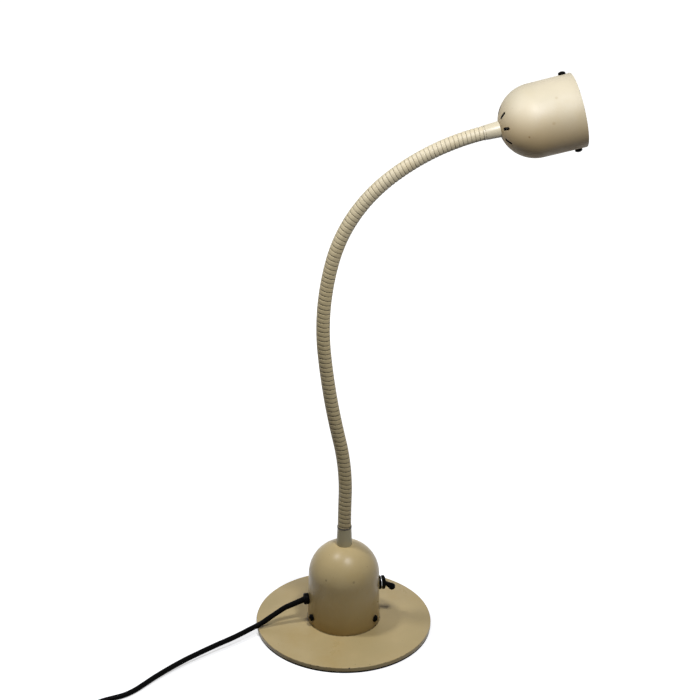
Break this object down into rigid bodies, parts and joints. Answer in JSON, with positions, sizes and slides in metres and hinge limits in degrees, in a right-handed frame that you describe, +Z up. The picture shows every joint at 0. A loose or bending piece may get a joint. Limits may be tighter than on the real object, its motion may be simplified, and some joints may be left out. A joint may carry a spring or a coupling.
{
  "type": "gooseneck desk lamp",
  "caption": "Desk lamp with a round weighted base, a domed housing with a toggle switch, a flexible ribbed neck and a bell-shaped shade.",
  "frame": {"origin": "centre of the base's underside, on the surface that the lamp stands on", "axes": "+Z up, +X from the base towards the shade's side, so the neck lies in the XZ plane and the switch is on +X, the cord gland on -X"},
  "size_m": [0.5655, 0.3415, 0.6576],
  "materials": {
    "cream_paint": "satin",
    "pad_foam": "matte",
    "zinc_steel": "satin",
    "bright_washer": "polished",
    "black_steel": "satin",
    "black_plastic": "satin",
    "cord_black": "satin",
    "lead_white": "satin",
    "block_white": "satin",
    "brass": "satin",
    "bulb_glass": "gloss",
    "bulb_cap": "satin",
    "reflector": "satin"
  },
  "bodies": {
    "base": {"base_plate": "cream_paint", "base_pad": "pad_foam", "housing_bracket": "zinc_steel", "bracket_screws": "zinc_steel", "bracket_nuts": "zinc_steel", "housing": "cream_paint", "housing_screws": "black_steel", "cord_gland": "black_plastic", "gland_nut": "black_plastic", "terminal_block": "block_white", "supply_lead": "cord_black", "switch_leads": "lead_white", "switch_body": "black_plastic", "switch_bushing": "zinc_steel", "switch_backing_washer": "black_plastic", "switch_lock_washer": "bright_washer", "switch_nut": "black_steel", "lower_ferrule": "cream_paint", "neck_base_nipple": "zinc_steel", "nipple_washer": "zinc_steel", "nipple_nut": "zinc_steel", "neck_lead": "lead_white", "power_cord": "cord_black", "cord_coil": "cord_black", "cord_tail": "cord_black", "plug_body": "black_plastic", "plug_pins": "brass"},
    "switch_lever": {"toggle_lever": "black_plastic"},
    "link_01": {"neck_link_01": "cream_paint"},
    "link_02": {"neck_link_02": "cream_paint"},
    "link_03": {"neck_link_03": "cream_paint"},
    "link_04": {"neck_link_04": "cream_paint"},
    "link_05": {"neck_link_05": "cream_paint"},
    "link_06": {"neck_link_06": "cream_paint"},
    "link_07": {"neck_link_07": "cream_paint"},
    "link_08": {"neck_link_08": "cream_paint"},
    "link_09": {"neck_link_09": "cream_paint"},
    "link_10": {"neck_link_10": "cream_paint"},
    "link_11": {"neck_link_11": "cream_paint"},
    "link_12": {"neck_link_12": "cream_paint"},
    "link_13": {"neck_link_13": "cream_paint"},
    "link_14": {"neck_link_14": "cream_paint"},
    "link_15": {"neck_link_15": "cream_paint"},
    "head": {"neck_end_fitting": "zinc_steel", "upper_ferrule": "cream_paint", "shade": "cream_paint", "shade_nut": "zinc_steel", "lampholder": "block_white", "holder_contact": "brass", "bulb_cap": "bulb_cap", "bulb_glass": "bulb_glass", "reflector": "reflector", "shade_screws": "black_steel", "shade_screw_nuts": "zinc_steel"}
  },
  "joints": [
    {"name": "neck_hinge_01", "type": "hinge", "parent": "base", "child": "link_01", "pos_m": [0, 0, 0.13183], "axis": [0, 1, 0], "range_deg": [-10, 10], "deforming": ["neck_lead"]},
    {"name": "neck_hinge_02", "type": "hinge", "parent": "link_01", "child": "link_02", "pos_m": [0.00048, 0, 0.16873], "axis": [0.9997, 0, -0.0262], "range_deg": [-10, 10]},
    {"name": "neck_hinge_03", "type": "hinge", "parent": "link_02", "child": "link_03", "pos_m": [-0.0008, 0, 0.20558], "axis": [0, 1, 0], "range_deg": [-10, 10]},
    {"name": "neck_hinge_04", "type": "hinge", "parent": "link_03", "child": "link_04", "pos_m": [-0.00657, 0, 0.242], "axis": [0.9763, 0, 0.2164], "range_deg": [-10, 10]},
    {"name": "neck_hinge_05", "type": "hinge", "parent": "link_04", "child": "link_05", "pos_m": [-0.01382, 0, 0.27818], "axis": [0, 1, 0], "range_deg": [-10, 10]},
    {"name": "neck_hinge_06", "type": "hinge", "parent": "link_05", "child": "link_06", "pos_m": [-0.0196, 0, 0.31462], "axis": [0.9907, 0, 0.1363], "range_deg": [-10, 10]},
    {"name": "neck_hinge_07", "type": "hinge", "parent": "link_06", "child": "link_07", "pos_m": [-0.02388, 0, 0.35127], "axis": [0, 1, 0], "range_deg": [-10, 10]},
    {"name": "neck_hinge_08", "type": "hinge", "parent": "link_07", "child": "link_08", "pos_m": [-0.02527, 0, 0.38813], "axis": [0.9998, 0, -0.0204], "range_deg": [-10, 10]},
    {"name": "neck_hinge_09", "type": "hinge", "parent": "link_08", "child": "link_09", "pos_m": [-0.02238, 0, 0.42489], "axis": [0, 1, 0], "range_deg": [-10, 10]},
    {"name": "neck_hinge_10", "type": "hinge", "parent": "link_09", "child": "link_10", "pos_m": [-0.01524, 0, 0.46107], "axis": [0.9681, 0, -0.2504], "range_deg": [-10, 10]},
    {"name": "neck_hinge_11", "type": "hinge", "parent": "link_10", "child": "link_11", "pos_m": [-0.00219, 0, 0.49551], "axis": [0, 1, 0], "range_deg": [-10, 10]},
    {"name": "neck_hinge_12", "type": "hinge", "parent": "link_11", "child": "link_12", "pos_m": [0.018, 0, 0.52631], "axis": [0.7716, 0, -0.6361], "range_deg": [-10, 10]},
    {"name": "neck_hinge_13", "type": "hinge", "parent": "link_12", "child": "link_13", "pos_m": [0.04438, 0, 0.55201], "axis": [0, 1, 0], "range_deg": [-10, 10]},
    {"name": "neck_hinge_14", "type": "hinge", "parent": "link_13", "child": "link_14", "pos_m": [0.07509, 0, 0.5724], "axis": [0.4874, 0, -0.8732], "range_deg": [-10, 10]},
    {"name": "neck_hinge_15", "type": "hinge", "parent": "link_14", "child": "link_15", "pos_m": [0.10857, 0, 0.58783], "axis": [0, 1, 0], "range_deg": [-10, 10]},
    {"name": "neck_hinge_16", "type": "hinge", "parent": "link_15", "child": "head", "pos_m": [0.14402, 0, 0.59794], "axis": [0.1994, 0, -0.9799], "range_deg": [-10, 10]},
    {"name": "switch_toggle", "type": "hinge", "parent": "base", "child": "switch_lever", "pos_m": [0.04643, 0, 0.052], "axis": [0, -1, 0], "range_deg": [0, 72]}
  ],
  "couplings": [
    {"joint": "neck_hinge_03", "follows": "neck_hinge_01", "ratio": 1},
    {"joint": "neck_hinge_04", "follows": "neck_hinge_02", "ratio": 1},
    {"joint": "neck_hinge_05", "follows": "neck_hinge_01", "ratio": 1},
    {"joint": "neck_hinge_06", "follows": "neck_hinge_02", "ratio": 1},
    {"joint": "neck_hinge_07", "follows": "neck_hinge_01", "ratio": 1},
    {"joint": "neck_hinge_08", "follows": "neck_hinge_02", "ratio": 1},
    {"joint": "neck_hinge_11", "follows": "neck_hinge_09", "ratio": 1},
    {"joint": "neck_hinge_12", "follows": "neck_hinge_10", "ratio": 1},
    {"joint": "neck_hinge_13", "follows": "neck_hinge_09", "ratio": 1},
    {"joint": "neck_hinge_14", "follows": "neck_hinge_10", "ratio": 1},
    {"joint": "neck_hinge_15", "follows": "neck_hinge_09", "ratio": 1},
    {"joint": "neck_hinge_16", "follows": "neck_hinge_10", "ratio": 1}
  ]
}
